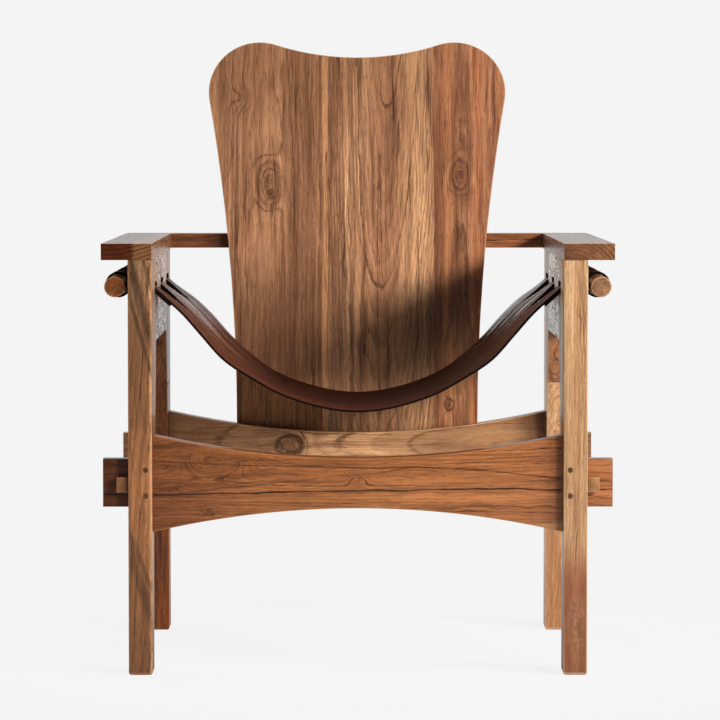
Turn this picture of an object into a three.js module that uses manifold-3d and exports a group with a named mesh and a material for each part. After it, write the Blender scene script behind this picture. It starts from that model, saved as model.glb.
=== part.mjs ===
// Leather sling lounge chair: two solid side frames, two arched rails with
// wedged through tenons, a reclined board back, and a leather seat whose straps
// pass through the sides and loop round a rod under each armrest.
// Millimetres. X runs across the chair, Y from front to back, Z up. Sizes are
// counted from the front face of the legs, and the group at the end moves the
// chair so that its origin lies on the floor under the middle of its box.

import * as THREE from 'three';
import { mergeVertices } from 'three/addons/utils/BufferGeometryUtils.js';
import Module from 'manifold-3d';

const wasm = await Module();
wasm.setup();

// Clearances
const fitGap = 0.3;
const glueLine = 0.2;
const boardSideGap = 1;
const cutMargin = 5;

// Side frames
const seatBay = 571;
const legThickness = 33;
const legHeight = 577;
const footDepth = 54;
const headDepth = 128;
const flareStart = 195;
const panelHeight = 117;
const frameDepth = 560;
const spliceTenonHeight = 25;
const spliceTenonThickness = 12;
const spliceTenonDepth = 50;
const tongueThickness = 10;
const tongueReach = 20;
const tongueRise = 6;
const tongueHeight = 54;

// Armrests and the bar behind them
const armWidth = 70;
const armThickness = 23;
const barDepth = 40;
const barHeight = 22;
const housingDepth = 2;
const dowelDiameter = 8;
const dowelReach = 16;
const dowelDepthBelow = 24;
const dowelSetback = 30;
const dowelSpacing = 68;
const barDowelReach = 20;

// Rails
const railThickness = 32;
const railSetback = 20;
const railEndTop = 333;
const railMiddleTop = 301;
const railEndBottom = 198;
const railMiddleBottom = 231;
const tenonThickness = 24;
const tenonBottom = 233;
const tenonTop = 300;
const tenonStandout = 36.5;
const pegDiameter = 7;
const pegLength = 54;
const pegInset = 9;
const pegHeights = [250, 286];

// Tusk wedges
const wedgeHeadWidth = 16.5;
const wedgeTailWidth = 12.5;
const wedgeHeight = 21;
const wedgeLength = 60;
const wedgeSetback = 6;
const wedgeCentreHeight = 265;
const wedgeDrawRoom = 2.5;

// Back board
const recline = THREE.MathUtils.degToRad(12);
const boardThickness = 24;
const boardSeatHeight = 300;
const boardLip = 16;
const boardFootLength = 28.5;
const boardFootWidth = 366;
const lobeRadius = 78.5;
const lobeOffset = 150;
const lobeRise = 529;
const dipRise = 583.8;
const leftJoint = -44.5;
const rightJoint = 118;
const splineThickness = 6;
const splineWidth = 20;
const splineStart = 40;
const splineLength = 470;

// Screws
const screwHeadRadius = 4.2;
const screwHeadHeight = 3.2;
const screwShankRadius = 2.2;
const screwSink = 0.5;
const railScrewLength = 36;
const railScrewRise = -12;
const railScrewSpacing = 120;
const barScrewLength = 52;
const barScrewPlug = 8;
const barScrewSpacing = 152;

// Leather seat and its rods
const leather = 3.5;
const slingFront = 97.5;
const slingRearSetback = 51.5;
const strapWidth = 65;
const slingLowest = 361;
const slotWidth = 71;
const slotHeight = 15.3;
const slotDrop = 48.8;
const rodDiameter = 29;
const rodSetback = 10;
const rodSlip = 0.4;
const rodRise = 11.8;
const neckRise = 2.2;
const returnLayerStart = 24;
const returnEdge = 2;
const neckOverlap = 2;
const notchDepth = 40.5;
const notchShape = [
  [0.12, 0.28],
  [0.4, 0.58],
];
const rearLift = 12;
const liftStart = 0.45;
const slingProfile = [
  [0, 0],
  [0.35, 0.12],
  [0.53, 0.277],
  [0.67, 0.435],
  [0.77, 0.62],
  [0.86, 0.79],
  [0.93, 0.898],
  [1, 1],
];

// Places worked out from the sizes above
const sides = { left: -1, right: 1 };
const legInner = seatBay / 2;
const legOuter = legInner + legThickness;
const legMiddle = legInner + legThickness / 2;
const flareEnd = legHeight - panelHeight;
const spliceHeight = (tenonTop + flareEnd) / 2;
const tongueBottom = flareEnd + tongueRise;
const tongueTop = tongueBottom + tongueHeight;
const armTop = legHeight + armThickness;
const rearHeadFront = frameDepth - headDepth;
const boardFrontAtSeat = frameDepth - railSetback - railThickness + boardLip;
const boardTop = lobeRise + lobeRadius;
const boardRearAt = (height) =>
  boardFrontAtSeat + Math.tan(recline) * (height - boardSeatHeight) + boardThickness / Math.cos(recline);
const barFront = boardRearAt(armTop) - housingDepth;
const armLength = barFront - fitGap;
const barMiddleHeight = armTop - barHeight / 2;
const overallDepth = boardFrontAtSeat + boardTop * Math.sin(recline) + boardThickness * Math.cos(recline);
const slingWidth = frameDepth - slingRearSetback - slingFront;
const strapStep = (slingWidth - strapWidth) / 2;
const strapMiddles = [0, 1, 2].map((i) => slingFront + strapWidth / 2 + i * strapStep);
const slotBottom = legHeight - slotDrop;
const slotMiddleHeight = slotBottom + slotHeight / 2;
const rodHeight = slotBottom + rodRise;
const rodLength = frameDepth - 2 * rodSetback;
const rodX = legOuter + fitGap + leather + rodSlip + rodDiameter / 2;
const loopBore = rodDiameter / 2 + rodSlip;
const loopRadius = loopBore + leather;

const frontSide = { name: 'front', railFront: railSetback, face: 0, inward: 1 };
const rearSide = {
  name: 'rear',
  railFront: frameDepth - railSetback - railThickness,
  face: frameDepth,
  inward: -1,
};

// Solids

function solidOf(geometry) {
  const bare = geometry.clone();
  bare.deleteAttribute('normal');
  bare.deleteAttribute('uv');
  const merged = mergeVertices(bare);
  return new wasm.Manifold(new wasm.Mesh({
    numProp: 3,
    vertProperties: Float32Array.from(merged.attributes.position.array),
    triVerts: Uint32Array.from(merged.index.array),
  }));
}

function geometryOf(solid) {
  const mesh = solid.getMesh();
  const geometry = new THREE.BufferGeometry();
  geometry.setAttribute('position', new THREE.BufferAttribute(mesh.vertProperties, 3));
  geometry.setIndex(new THREE.BufferAttribute(mesh.triVerts, 1));
  return geometry;
}

function cut(body, tools) {
  const start = solidOf(body);
  return geometryOf(tools.reduce((rest, tool) => rest.subtract(solidOf(tool)), start));
}

function join(body, extras) {
  const start = solidOf(body);
  return geometryOf(extras.reduce((whole, extra) => whole.add(solidOf(extra)), start));
}

function keepWithin(body, limits) {
  return geometryOf(solidOf(body).intersect(solidOf(limits)));
}

function box(x0, x1, y0, y1, z0, z1) {
  const geometry = new THREE.BoxGeometry(Math.abs(x1 - x0), y1 - y0, z1 - z0);
  return geometry.translate((x0 + x1) / 2, (y0 + y1) / 2, (z0 + z1) / 2);
}

function extrude(points, depth) {
  const shape = new THREE.Shape(points.map(([a, b]) => new THREE.Vector2(a, b)));
  return new THREE.ExtrudeGeometry(shape, { depth, bevelEnabled: false });
}

// Outline drawn in Y and Z, carried across from x0 to x1
function acrossX(points, x0, x1) {
  return extrude(points, x1 - x0).rotateX(Math.PI / 2).rotateZ(Math.PI / 2).translate(x0, 0, 0);
}

// Outline drawn in X and Z, carried back from y0 to y1
function acrossY(points, y0, y1) {
  return extrude(points, y1 - y0).rotateX(Math.PI / 2).translate(0, y1, 0);
}

// Outline drawn in X and Y, carried up from z0 to z1
function acrossZ(points, z0, z1) {
  return extrude(points, z1 - z0).translate(0, 0, z0);
}

function rodAlongY(x, z, y0, y1, radius, facets = 12) {
  return new THREE.CylinderGeometry(radius, radius, y1 - y0, facets).translate(x, (y0 + y1) / 2, z);
}

function rodAlongZ(x, y, z0, z1, radius, facets = 12) {
  const geometry = new THREE.CylinderGeometry(radius, radius, z1 - z0, facets);
  return geometry.rotateX(Math.PI / 2).translate(x, y, (z0 + z1) / 2);
}

// A screw along Y whose flat head lies at y = 0 and whose point lies at y = -length
function screw(length, grow = 0) {
  const profile = [
    [0, -length - grow],
    [screwShankRadius + grow, -length - grow],
    [screwShankRadius + grow, -screwHeadHeight - grow],
    [screwHeadRadius + grow, -grow],
    [screwHeadRadius + grow, grow],
    [0, grow],
  ];
  const points = profile.map(([r, y]) => new THREE.Vector2(r, y));
  return new THREE.LatheGeometry(grow ? points : points.toSpliced(4, 1), 12);
}

// Woods, leather and steel

const paleTeak = { color: 0xd1a678, roughness: 0.5, metalness: 0 };
const brownTeak = { color: 0x825f41, roughness: 0.5, metalness: 0 };
const redTeak = { color: 0x965a37, roughness: 0.5, metalness: 0 };
const darkTeak = { color: 0x643a22, roughness: 0.5, metalness: 0 };
const saddleLeather = { color: 0x5a3223, roughness: 0.45, metalness: 0 };
const steel = { color: 0x8c8a86, roughness: 0.4, metalness: 0.9 };

const chair = new THREE.Group();
chair.position.y = -overallDepth / 2;

// A piece is drawn in the chair's own frame and then hung on its own natural point
function addPiece(name, geometry, finish, at = [0, 0, 0], group = chair) {
  const local = geometry.clone().translate(-at[0], -at[1], -at[2]);
  const mesh = new THREE.Mesh(local, new THREE.MeshStandardMaterial(finish));
  mesh.name = name;
  mesh.position.set(...at);
  group.add(mesh);
}

// Mortises and holes that more than one piece shares

const slotTools = (side) => strapMiddles.map((middle) => box(
  side * (legInner - cutMargin), side * (legOuter + cutMargin),
  middle - slotWidth / 2, middle + slotWidth / 2,
  slotBottom, slotBottom + slotHeight,
));

function railTenonTool(side, end) {
  const y0 = end.railFront + (railThickness - tenonThickness) / 2;
  return box(
    side * (legInner - cutMargin), side * (legOuter + cutMargin),
    y0 - fitGap, y0 + tenonThickness + fitGap,
    tenonBottom - fitGap, tenonTop + fitGap,
  );
}

function pegSpan(end) {
  const far = end.face + end.inward * pegLength;
  return [Math.min(end.face, far), Math.max(end.face, far)];
}

function pegTools(side, end) {
  const [y0, y1] = pegSpan(end);
  const x = side * (legInner + pegInset);
  return pegHeights.map((z) => rodAlongY(x, z, y0 - fitGap, y1 + fitGap, pegDiameter / 2 + fitGap));
}

function tongueBox(side, joint, grow) {
  const x = side * legMiddle;
  return box(
    x - tongueThickness / 2 - grow, x + tongueThickness / 2 + grow,
    joint - tongueReach - grow, joint + tongueReach + grow,
    tongueBottom - grow, tongueTop + grow,
  );
}

const tongueJoints = { front: headDepth, rear: rearHeadFront };

function armDowelPlaces(end) {
  return [dowelSetback, dowelSetback + dowelSpacing].map((back) => end.face + end.inward * back);
}

function armDowelTools(side, end) {
  return armDowelPlaces(end).map((y) => rodAlongZ(
    side * legMiddle, y,
    legHeight - dowelDepthBelow - fitGap, legHeight + dowelReach + fitGap,
    dowelDiameter / 2 + fitGap,
  ));
}

const barDowelPlaces = [legMiddle, legMiddle + armWidth / 2];

function barDowelTools(side) {
  return barDowelPlaces.map((x) => rodAlongY(
    side * x, barMiddleHeight,
    armLength - barDowelReach - fitGap, barFront + barDowelReach + fitGap,
    dowelDiameter / 2 + fitGap,
  ));
}

// Side frames: front legs, spliced rear legs and the panel between them

function legDepthAt(height) {
  const share = THREE.MathUtils.clamp((height - flareStart) / (flareEnd - flareStart), 0, 1);
  return footDepth + share * (headDepth - footDepth);
}

function legOutline(end, bottom, top) {
  const bends = [flareStart, flareEnd].filter((z) => z > bottom && z < top);
  const inner = [bottom, ...bends, top].map((z) => [end.face + end.inward * legDepthAt(z), z]);
  return [[end.face, bottom], ...inner, [end.face, top]];
}

function spliceTenon(side, grow) {
  const x = side * legMiddle;
  const middle = frameDepth - legDepthAt(spliceHeight) / 2;
  return box(
    x - spliceTenonThickness / 2 - grow, x + spliceTenonThickness / 2 + grow,
    middle - spliceTenonDepth / 2 - grow, middle + spliceTenonDepth / 2 + grow,
    spliceHeight - spliceTenonHeight, spliceHeight + spliceTenonHeight + grow,
  );
}

function legBlank(side, end, bottom, top) {
  const [x0, x1] = [side * legInner, side * legOuter].sort((a, b) => a - b);
  return acrossX(legOutline(end, bottom, top), x0, x1);
}

for (const [label, side] of Object.entries(sides)) {
  const frontLeg = cut(legBlank(side, frontSide, 0, legHeight), [
    railTenonTool(side, frontSide),
    ...pegTools(side, frontSide),
    ...slotTools(side),
    tongueBox(side, tongueJoints.front, fitGap),
    ...armDowelTools(side, frontSide),
  ]);
  addPiece(`front_leg_${label}`, frontLeg, side > 0 ? paleTeak : brownTeak, [side * legMiddle, 0, 0]);

  const lowerBlank = join(legBlank(side, rearSide, 0, spliceHeight), [spliceTenon(side, 0)]);
  const rearLower = cut(lowerBlank, [railTenonTool(side, rearSide), ...pegTools(side, rearSide)]);
  const rearAt = [side * legMiddle, frameDepth, 0];
  addPiece(`rear_leg_lower_${label}`, rearLower, side > 0 ? paleTeak : darkTeak, rearAt);

  const rearUpper = cut(legBlank(side, rearSide, spliceHeight + glueLine, legHeight), [
    spliceTenon(side, fitGap),
    ...slotTools(side),
    tongueBox(side, tongueJoints.rear, fitGap),
    ...armDowelTools(side, rearSide),
  ]);
  const upperAt = [side * legMiddle, frameDepth, spliceHeight];
  addPiece(`rear_leg_upper_${label}`, rearUpper, side > 0 ? redTeak : darkTeak, upperAt);

  const panelBlank = box(
    side * legInner, side * legOuter,
    headDepth + glueLine, rearHeadFront - glueLine,
    flareEnd, legHeight,
  );
  const panel = cut(panelBlank, [
    ...slotTools(side),
    tongueBox(side, tongueJoints.front, fitGap),
    tongueBox(side, tongueJoints.rear, fitGap),
  ]);
  const panelAt = [side * legMiddle, frameDepth / 2, flareEnd];
  addPiece(`side_panel_${label}`, panel, side > 0 ? paleTeak : brownTeak, panelAt);

  for (const [name, joint] of Object.entries(tongueJoints)) {
    const at = [side * legMiddle, joint, tongueBottom];
    addPiece(`panel_tongue_${name}_${label}`, tongueBox(side, joint, 0), paleTeak, at);
  }
}

// Armrests with their dowels

for (const [label, side] of Object.entries(sides)) {
  const armBlank = box(
    side * legInner, side * (legInner + armWidth), 0, armLength,
    legHeight + fitGap, armTop,
  );
  const armrest = cut(armBlank, [
    ...armDowelTools(side, frontSide),
    ...armDowelTools(side, rearSide),
    ...barDowelTools(side),
  ]);
  addPiece(`armrest_${label}`, armrest, brownTeak, [side * legInner, 0, armTop]);

  for (const end of [frontSide, rearSide]) {
    armDowelPlaces(end).forEach((y, i) => {
      const z0 = legHeight - dowelDepthBelow;
      const dowel = rodAlongZ(side * legMiddle, y, z0, legHeight + dowelReach, dowelDiameter / 2);
      addPiece(`arm_dowel_${end.name}_${label}_${i + 1}`, dowel, paleTeak, [side * legMiddle, y, z0]);
    });
  }
}

// Rails with through tenons, pegs and tusk wedges

function arch(half, endHeight, middleHeight, steps = 24) {
  const rise = Math.abs(endHeight - middleHeight);
  const radius = (half * half + rise * rise) / (2 * rise);
  const sign = Math.sign(endHeight - middleHeight);
  return Array.from({ length: steps + 1 }, (_, i) => {
    const x = -half + (2 * half * i) / steps;
    return [x, middleHeight + sign * (radius - Math.sqrt(radius * radius - x * x))];
  });
}

function wedgeOutline(side, end, grow, innerX) {
  const head = end.face + end.inward * (wedgeSetback - grow);
  const tail = end.face + end.inward * (wedgeSetback + wedgeLength + grow);
  const root = legOuter + fitGap;
  return [
    [side * innerX, head],
    [side * (root + wedgeHeadWidth + grow), head],
    [side * (root + wedgeTailWidth + grow), tail],
    [side * innerX, tail],
  ];
}

function wedgeMortise(side, end) {
  const outline = wedgeOutline(side, end, fitGap, legOuter - wedgeDrawRoom);
  const half = wedgeHeight / 2 + fitGap;
  return acrossZ(outline, wedgeCentreHeight - half, wedgeCentreHeight + half);
}

function railBlank(end) {
  const half = legInner - fitGap;
  const top = arch(half, railEndTop, railMiddleTop);
  const bottom = arch(half, railEndBottom, railMiddleBottom);
  const body = acrossY([...bottom, ...top.reverse()], end.railFront, end.railFront + railThickness);
  const y0 = end.railFront + (railThickness - tenonThickness) / 2;
  const reach = legOuter + tenonStandout;
  const tenons = box(-reach, reach, y0, y0 + tenonThickness, tenonBottom, tenonTop);
  return join(body, [tenons]);
}

// The tenon bar runs from end to end inside the rail, so what it adds is only the ends,
// and the part of it that would show above or below the arch is trimmed away.
function trimToArch(end, blank) {
  const half = legInner - fitGap;
  const above = railEndTop + railThickness;
  const below = railEndBottom - railThickness;
  const top = [...arch(half, railEndTop, railMiddleTop), [half, above], [-half, above]];
  const bottom = [...arch(half, railEndBottom, railMiddleBottom), [half, below], [-half, below]];
  const y0 = end.railFront - cutMargin;
  const y1 = end.railFront + railThickness + cutMargin;
  return cut(blank, [acrossY(top, y0, y1), acrossY(bottom, y0, y1)]);
}

// Back board frame: u across, t from the front face to the rear face, s up the slope
const back = new THREE.Group();
back.position.set(0, boardFrontAtSeat, boardSeatHeight);
back.rotation.x = -recline;
back.updateMatrix();
chair.add(back);

const toChair = (geometry) => geometry.clone().applyMatrix4(back.matrix);
const toBack = (geometry) => geometry.clone().applyMatrix4(back.matrix.clone().invert());

const footHalf = boardFootWidth / 2;
const sideRadius = (() => {
  const lean = footHalf - lobeOffset;
  const top = lean * lean + lobeRise * lobeRise - lobeRadius * lobeRadius;
  return top / (2 * (lobeRadius - lean));
})();
const dipRadius = (() => {
  const drop = dipRise - lobeRise;
  const top = lobeOffset * lobeOffset + drop * drop - lobeRadius * lobeRadius;
  return top / (2 * (lobeRadius - drop));
})();
const boardHalfAt = (s) => footHalf + sideRadius - Math.sqrt(sideRadius * sideRadius - Math.max(s, 0) ** 2);

// One half of the board's edge: a long hollow side, a round lobe and a shallow dip
function boardEdge() {
  const shape = new THREE.Path();
  const sideAngle = Math.atan2(lobeRise, footHalf + sideRadius - lobeOffset);
  const dipAngle = Math.atan2(dipRise + dipRadius - lobeRise, lobeOffset);
  shape.moveTo(footHalf, -boardFootLength);
  shape.lineTo(footHalf, 0);
  shape.absarc(footHalf + sideRadius, 0, sideRadius, Math.PI, Math.PI - sideAngle, true);
  shape.absarc(lobeOffset, lobeRise, lobeRadius, -sideAngle, Math.PI - dipAngle, false);
  shape.absarc(0, dipRise + dipRadius, dipRadius, -dipAngle, -Math.PI / 2, true);
  return shape.getPoints(14).map((p) => [p.x, p.y]);
}

function boardBlank() {
  const half = boardEdge();
  const mirrored = half.slice(0, -1).reverse().map(([u, s]) => [-u, s]);
  return acrossY([...half, ...mirrored], 0, boardThickness);
}

function splineBox(joint, grow) {
  const middle = boardThickness / 2;
  return box(
    joint - splineWidth / 2 - grow, joint + splineWidth / 2 + grow,
    middle - splineThickness / 2 - grow, middle + splineThickness / 2 + grow,
    splineStart - grow, splineStart + splineLength + grow,
  );
}

const screwNames = ['left', 'middle', 'right'];
const railScrewHead = boardThickness - screwSink;
const barScrewHead = barFront + barDepth - barScrewPlug;
const railScrewPlaces = [-1, 0, 1].map((i) => [i * railScrewSpacing, railScrewHead, railScrewRise]);
const barScrewPlaces = [-1, 0, 1].map((i) => [i * barScrewSpacing, barScrewHead, barMiddleHeight]);
const railScrewTools = railScrewPlaces.map((at) => screw(railScrewLength, fitGap).translate(...at));
const railScrewMouths = railScrewPlaces.map(([u, , s]) => rodAlongY(
  u, s, railScrewHead, boardThickness + cutMargin, screwHeadRadius + fitGap,
));
const barScrewTools = barScrewPlaces.map((at) => screw(barScrewLength, fitGap).translate(...at));
const barScrewMouths = barScrewPlaces.map(([x, y, z]) => rodAlongY(
  x, z, y, y + barScrewPlug + cutMargin, screwHeadRadius + fitGap,
));

// The rear rail is rebated to take the foot of the board
const railRebate = toChair(box(
  -footHalf - boardSideGap, footHalf + boardSideGap,
  -fitGap, boardThickness + railThickness,
  -boardFootLength - fitGap, railEndTop - boardSeatHeight + railThickness,
));

for (const end of [frontSide, rearSide]) {
  const isRear = end === rearSide;
  const ends = Object.values(sides);
  const rail = cut(trimToArch(end, railBlank(end)), [
    ...ends.flatMap((side) => pegTools(side, end)),
    ...ends.map((side) => wedgeMortise(side, end)),
    ...(isRear ? [railRebate, ...railScrewTools.map(toChair)] : []),
  ]);
  addPiece(`${end.name}_rail`, rail, redTeak, [0, end.railFront, railMiddleBottom]);

  for (const [label, side] of Object.entries(sides)) {
    const [y0, y1] = pegSpan(end);
    pegHeights.forEach((z, i) => {
      const x = side * (legInner + pegInset);
      const name = `${end.name}_peg_${label}_${i === 0 ? 'lower' : 'upper'}`;
      addPiece(name, rodAlongY(x, z, y0, y1, pegDiameter / 2), brownTeak, [x, end.face, z]);
    });
    const z0 = wedgeCentreHeight - wedgeHeight / 2;
    const outline = wedgeOutline(side, end, 0, legOuter + fitGap);
    const wedge = acrossZ(outline, z0, z0 + wedgeHeight);
    const at = [side * (legOuter + fitGap), end.face + end.inward * wedgeSetback, wedgeCentreHeight];
    addPiece(`${end.name}_wedge_${label}`, wedge, paleTeak, at);
  }
}

// Bar behind the armrests, dowelled to them and housed for the board

const barReach = legInner + armWidth;
const housingHalf = boardHalfAt((armTop - boardSeatHeight) / Math.cos(recline)) + boardSideGap;
const barHousing = toChair(box(
  -housingHalf, housingHalf,
  -boardThickness, boardThickness + fitGap,
  0, boardTop,
));
const backBar = cut(
  box(-barReach, barReach, barFront, barFront + barDepth, armTop - barHeight, armTop),
  [
    barHousing,
    ...Object.values(sides).flatMap((side) => barDowelTools(side)),
    ...barScrewTools,
    ...barScrewMouths,
  ],
);
addPiece('back_bar', backBar, brownTeak, [0, barFront, armTop]);

for (const [label, side] of Object.entries(sides)) {
  barDowelPlaces.forEach((x, i) => {
    const y0 = armLength - barDowelReach;
    const dowel = rodAlongY(side * x, barMiddleHeight, y0, barFront + barDowelReach, dowelDiameter / 2);
    addPiece(`bar_dowel_${label}_${i + 1}`, dowel, paleTeak, [side * x, y0, barMiddleHeight]);
  });
}

// Back board: three staves with loose splines, screwed to the bar and to the rail

const staveSpans = {
  left: [-lobeOffset - lobeRadius - cutMargin, leftJoint - glueLine / 2],
  middle: [leftJoint + glueLine / 2, rightJoint - glueLine / 2],
  right: [rightJoint + glueLine / 2, lobeOffset + lobeRadius + cutMargin],
};
const boardTools = [
  splineBox(leftJoint, fitGap),
  splineBox(rightJoint, fitGap),
  ...railScrewTools,
  ...railScrewMouths,
  ...barScrewTools.map(toBack),
];

for (const [label, [u0, u1]] of Object.entries(staveSpans)) {
  const strip = box(
    u0, u1, -cutMargin, boardThickness + cutMargin,
    -boardFootLength - cutMargin, boardTop + cutMargin,
  );
  const stave = cut(keepWithin(boardBlank(), strip), boardTools);
  addPiece(`back_stave_${label}`, stave, brownTeak, [(u0 + u1) / 2, 0, 0], back);
}
addPiece('back_spline_left', splineBox(leftJoint, 0), paleTeak, [leftJoint, 0, splineStart], back);
addPiece('back_spline_right', splineBox(rightJoint, 0), paleTeak, [rightJoint, 0, splineStart], back);

railScrewPlaces.forEach((at, i) => {
  addPiece(`rail_screw_${screwNames[i]}`, screw(railScrewLength).translate(...at), steel, at, back);
});
barScrewPlaces.forEach((at, i) => {
  addPiece(`bar_screw_${screwNames[i]}`, screw(barScrewLength).translate(...at), steel, at);
});

// Rods under the armrests

for (const [label, side] of Object.entries(sides)) {
  const rod = rodAlongY(side * rodX, rodHeight, rodSetback, rodSetback + rodLength, rodDiameter / 2, 32);
  addPiece(`sling_rod_${label}`, rod, brownTeak, [side * rodX, rodSetback, rodHeight]);
}

// Leather seat: one sheet, three straps a side, doubled back under itself

const topAtInner = slotBottom + fitGap + leather * 1.5;
const topAtNeck = slotMiddleHeight + neckRise + leather / 2;
const knots = [...slingProfile.slice(1).reverse().map(([u, h]) => [-u, h]), ...slingProfile];
const profile = new THREE.CubicInterpolant(knots.map(([u]) => u), knots.map(([, h]) => h), 1, [0]);

// Height of the middle of the upper layer of leather
function slingHeight(x, y) {
  const share = Math.abs(x) / legInner;
  if (share > 1) {
    const through = (Math.abs(x) - legInner) / legThickness;
    return topAtInner + Math.min(through, 1) * (topAtNeck - topAtInner);
  }
  const hang = slingLowest + profile.evaluate(share)[0] * (topAtInner - slingLowest);
  const along = THREE.MathUtils.clamp((share - liftStart) / (1 - liftStart), 0, 1);
  const back = THREE.MathUtils.smoothstep(y, slingFront, slingFront + slingWidth);
  return hang + rearLift * back * Math.sin(Math.PI * along) ** 2;
}

function closedSheet(top, bottom) {
  const rows = top.length;
  const columns = top[0].length;
  const corner = (layer, i, j) => layer * rows * columns + i * columns + j;
  const index = [];
  const quad = (a, b, c, d) => index.push(a, b, c, a, c, d);
  for (let i = 0; i < rows - 1; i++) {
    for (let j = 0; j < columns - 1; j++) {
      quad(corner(0, i, j), corner(0, i + 1, j), corner(0, i + 1, j + 1), corner(0, i, j + 1));
      quad(corner(1, i, j), corner(1, i, j + 1), corner(1, i + 1, j + 1), corner(1, i + 1, j));
    }
    quad(corner(0, i, 0), corner(1, i, 0), corner(1, i + 1, 0), corner(0, i + 1, 0));
    const last = columns - 1;
    quad(corner(0, i, last), corner(0, i + 1, last), corner(1, i + 1, last), corner(1, i, last));
  }
  for (let j = 0; j < columns - 1; j++) {
    const end = rows - 1;
    quad(corner(0, 0, j), corner(0, 0, j + 1), corner(1, 0, j + 1), corner(1, 0, j));
    quad(corner(0, end, j), corner(1, end, j), corner(1, end, j + 1), corner(0, end, j + 1));
  }
  const geometry = new THREE.BufferGeometry();
  const positions = [...top.flat(2), ...bottom.flat(2)];
  geometry.setAttribute('position', new THREE.Float32BufferAttribute(positions, 3));
  geometry.setIndex(index);
  return geometry;
}

function slingSheet() {
  const spans = 10;
  const returnStart = legInner - returnLayerStart;
  const hanging = Array.from({ length: spans + 1 }, (_, i) => (i * returnStart) / spans);
  const doubled = [returnEdge, returnLayerStart / 3, (returnLayerStart * 2) / 3, returnLayerStart]
    .map((step) => returnStart + step);
  const neck = [legOuter, rodX - rodDiameter / 2 + neckOverlap];
  const half = [...hanging, ...doubled, ...neck];
  const stations = [...half.slice(1).reverse().map((x) => -x), ...half];
  const rows = 6;
  const top = [];
  const bottom = [];
  for (const x of stations) {
    const isDoubled = Math.abs(x) > returnStart + returnEdge / 2;
    const upper = [];
    const lower = [];
    for (let j = 0; j <= rows; j++) {
      const y = slingFront + (slingWidth * j) / rows;
      const z = slingHeight(x, y);
      const inSlot = Math.abs(x) >= legInner;
      const climb = inSlot ? 0 : slingHeight(x + leather, y) - slingHeight(x - leather, y);
      const normal = new THREE.Vector2(-climb, 2 * leather).normalize();
      const below = isDoubled ? leather * 1.5 : leather / 2;
      upper.push([x + (normal.x * leather) / 2, y, z + (normal.y * leather) / 2]);
      lower.push([x - normal.x * below, y, z - normal.y * below]);
    }
    top.push(upper);
    bottom.push(lower);
  }
  return closedSheet(top, bottom);
}

// Between two straps the sheet is cut to a point and left open out to its end
function notchTool(side, strap) {
  const y0 = strapMiddles[strap] + strapWidth / 2;
  const y1 = strapMiddles[strap + 1] - strapWidth / 2;
  const middle = (y0 + y1) / 2;
  const tip = legInner - notchDepth;
  const bowed = notchShape.map(([along, open]) => [along * notchDepth, (open * (y1 - y0)) / 2]);
  const outline = [
    [side * tip, middle],
    ...bowed.map(([along, half]) => [side * (tip + along), middle - half]),
    [side * legInner, y0],
    [side * (rodX + loopRadius), y0],
    [side * (rodX + loopRadius), y1],
    [side * legInner, y1],
    ...bowed.reverse().map(([along, half]) => [side * (tip + along), middle + half]),
  ];
  return acrossZ(outline, 0, armTop);
}

function strapLoop(side, middle, radius, reach) {
  return rodAlongY(side * rodX, rodHeight, middle - reach, middle + reach, radius, 32);
}

const loops = [];
const bores = [];
for (const side of Object.values(sides)) {
  for (const middle of strapMiddles) {
    loops.push(strapLoop(side, middle, loopRadius, strapWidth / 2));
    bores.push(strapLoop(side, middle, loopBore, strapWidth));
  }
}
const notches = Object.values(sides).flatMap((side) => [notchTool(side, 0), notchTool(side, 1)]);
const sling = cut(join(cut(slingSheet(), notches), loops), bores);
addPiece('leather_sling', sling, saddleLeather, [0, slingFront, slingLowest]);

export default chair;
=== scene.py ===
import math
from collections import namedtuple

import bpy
from mathutils import Euler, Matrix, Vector


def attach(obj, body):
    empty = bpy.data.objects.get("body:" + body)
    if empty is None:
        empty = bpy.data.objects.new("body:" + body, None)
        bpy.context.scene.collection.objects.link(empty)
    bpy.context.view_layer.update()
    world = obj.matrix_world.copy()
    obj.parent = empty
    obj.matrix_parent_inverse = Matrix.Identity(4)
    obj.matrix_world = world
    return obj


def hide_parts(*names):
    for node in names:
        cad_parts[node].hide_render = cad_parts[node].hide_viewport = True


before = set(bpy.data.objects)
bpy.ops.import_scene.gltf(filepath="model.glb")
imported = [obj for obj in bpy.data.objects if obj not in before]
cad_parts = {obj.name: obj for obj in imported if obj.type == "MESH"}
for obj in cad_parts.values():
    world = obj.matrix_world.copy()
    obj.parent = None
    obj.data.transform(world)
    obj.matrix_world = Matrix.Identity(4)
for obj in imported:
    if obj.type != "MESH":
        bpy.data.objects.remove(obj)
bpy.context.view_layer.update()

# The viewing place: a level, frontal look from a little above the armrests,
# through a long lens, which is what the chair's two side frames show.
LOOK_DOWN = math.radians(3.19)
LOOK_RIGHT = math.radians(0.147)
eye = bpy.data.cameras.new("eye")
eye.sensor_width = 36
eye.lens = 195.35
eye.clip_end = 40
viewer = bpy.data.objects.new("viewer", eye)
viewer.location = (-0.011, -5.737, 0.740)
viewer.rotation_euler = (math.pi / 2 - LOOK_DOWN, 0, -LOOK_RIGHT)
bpy.context.scene.collection.objects.link(viewer)
bpy.context.scene.camera = viewer
bpy.context.scene.view_settings.view_transform = "Standard"

# Front legs: one teak board each, sawn to a narrow foot that flares in depth
# towards the armrest. The edges are eased with a plane and paper, more so round
# the foot, and the faces are oiled to a satin finish.
EASE = 0.0014
FOOT_EASE = 0.0036


def span(node, axis):
    """From where to where a piece of the plain solids reaches along an axis."""
    places = [point.co["XYZ".index(axis)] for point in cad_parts[node].data.vertices]
    return min(places), max(places)


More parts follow.
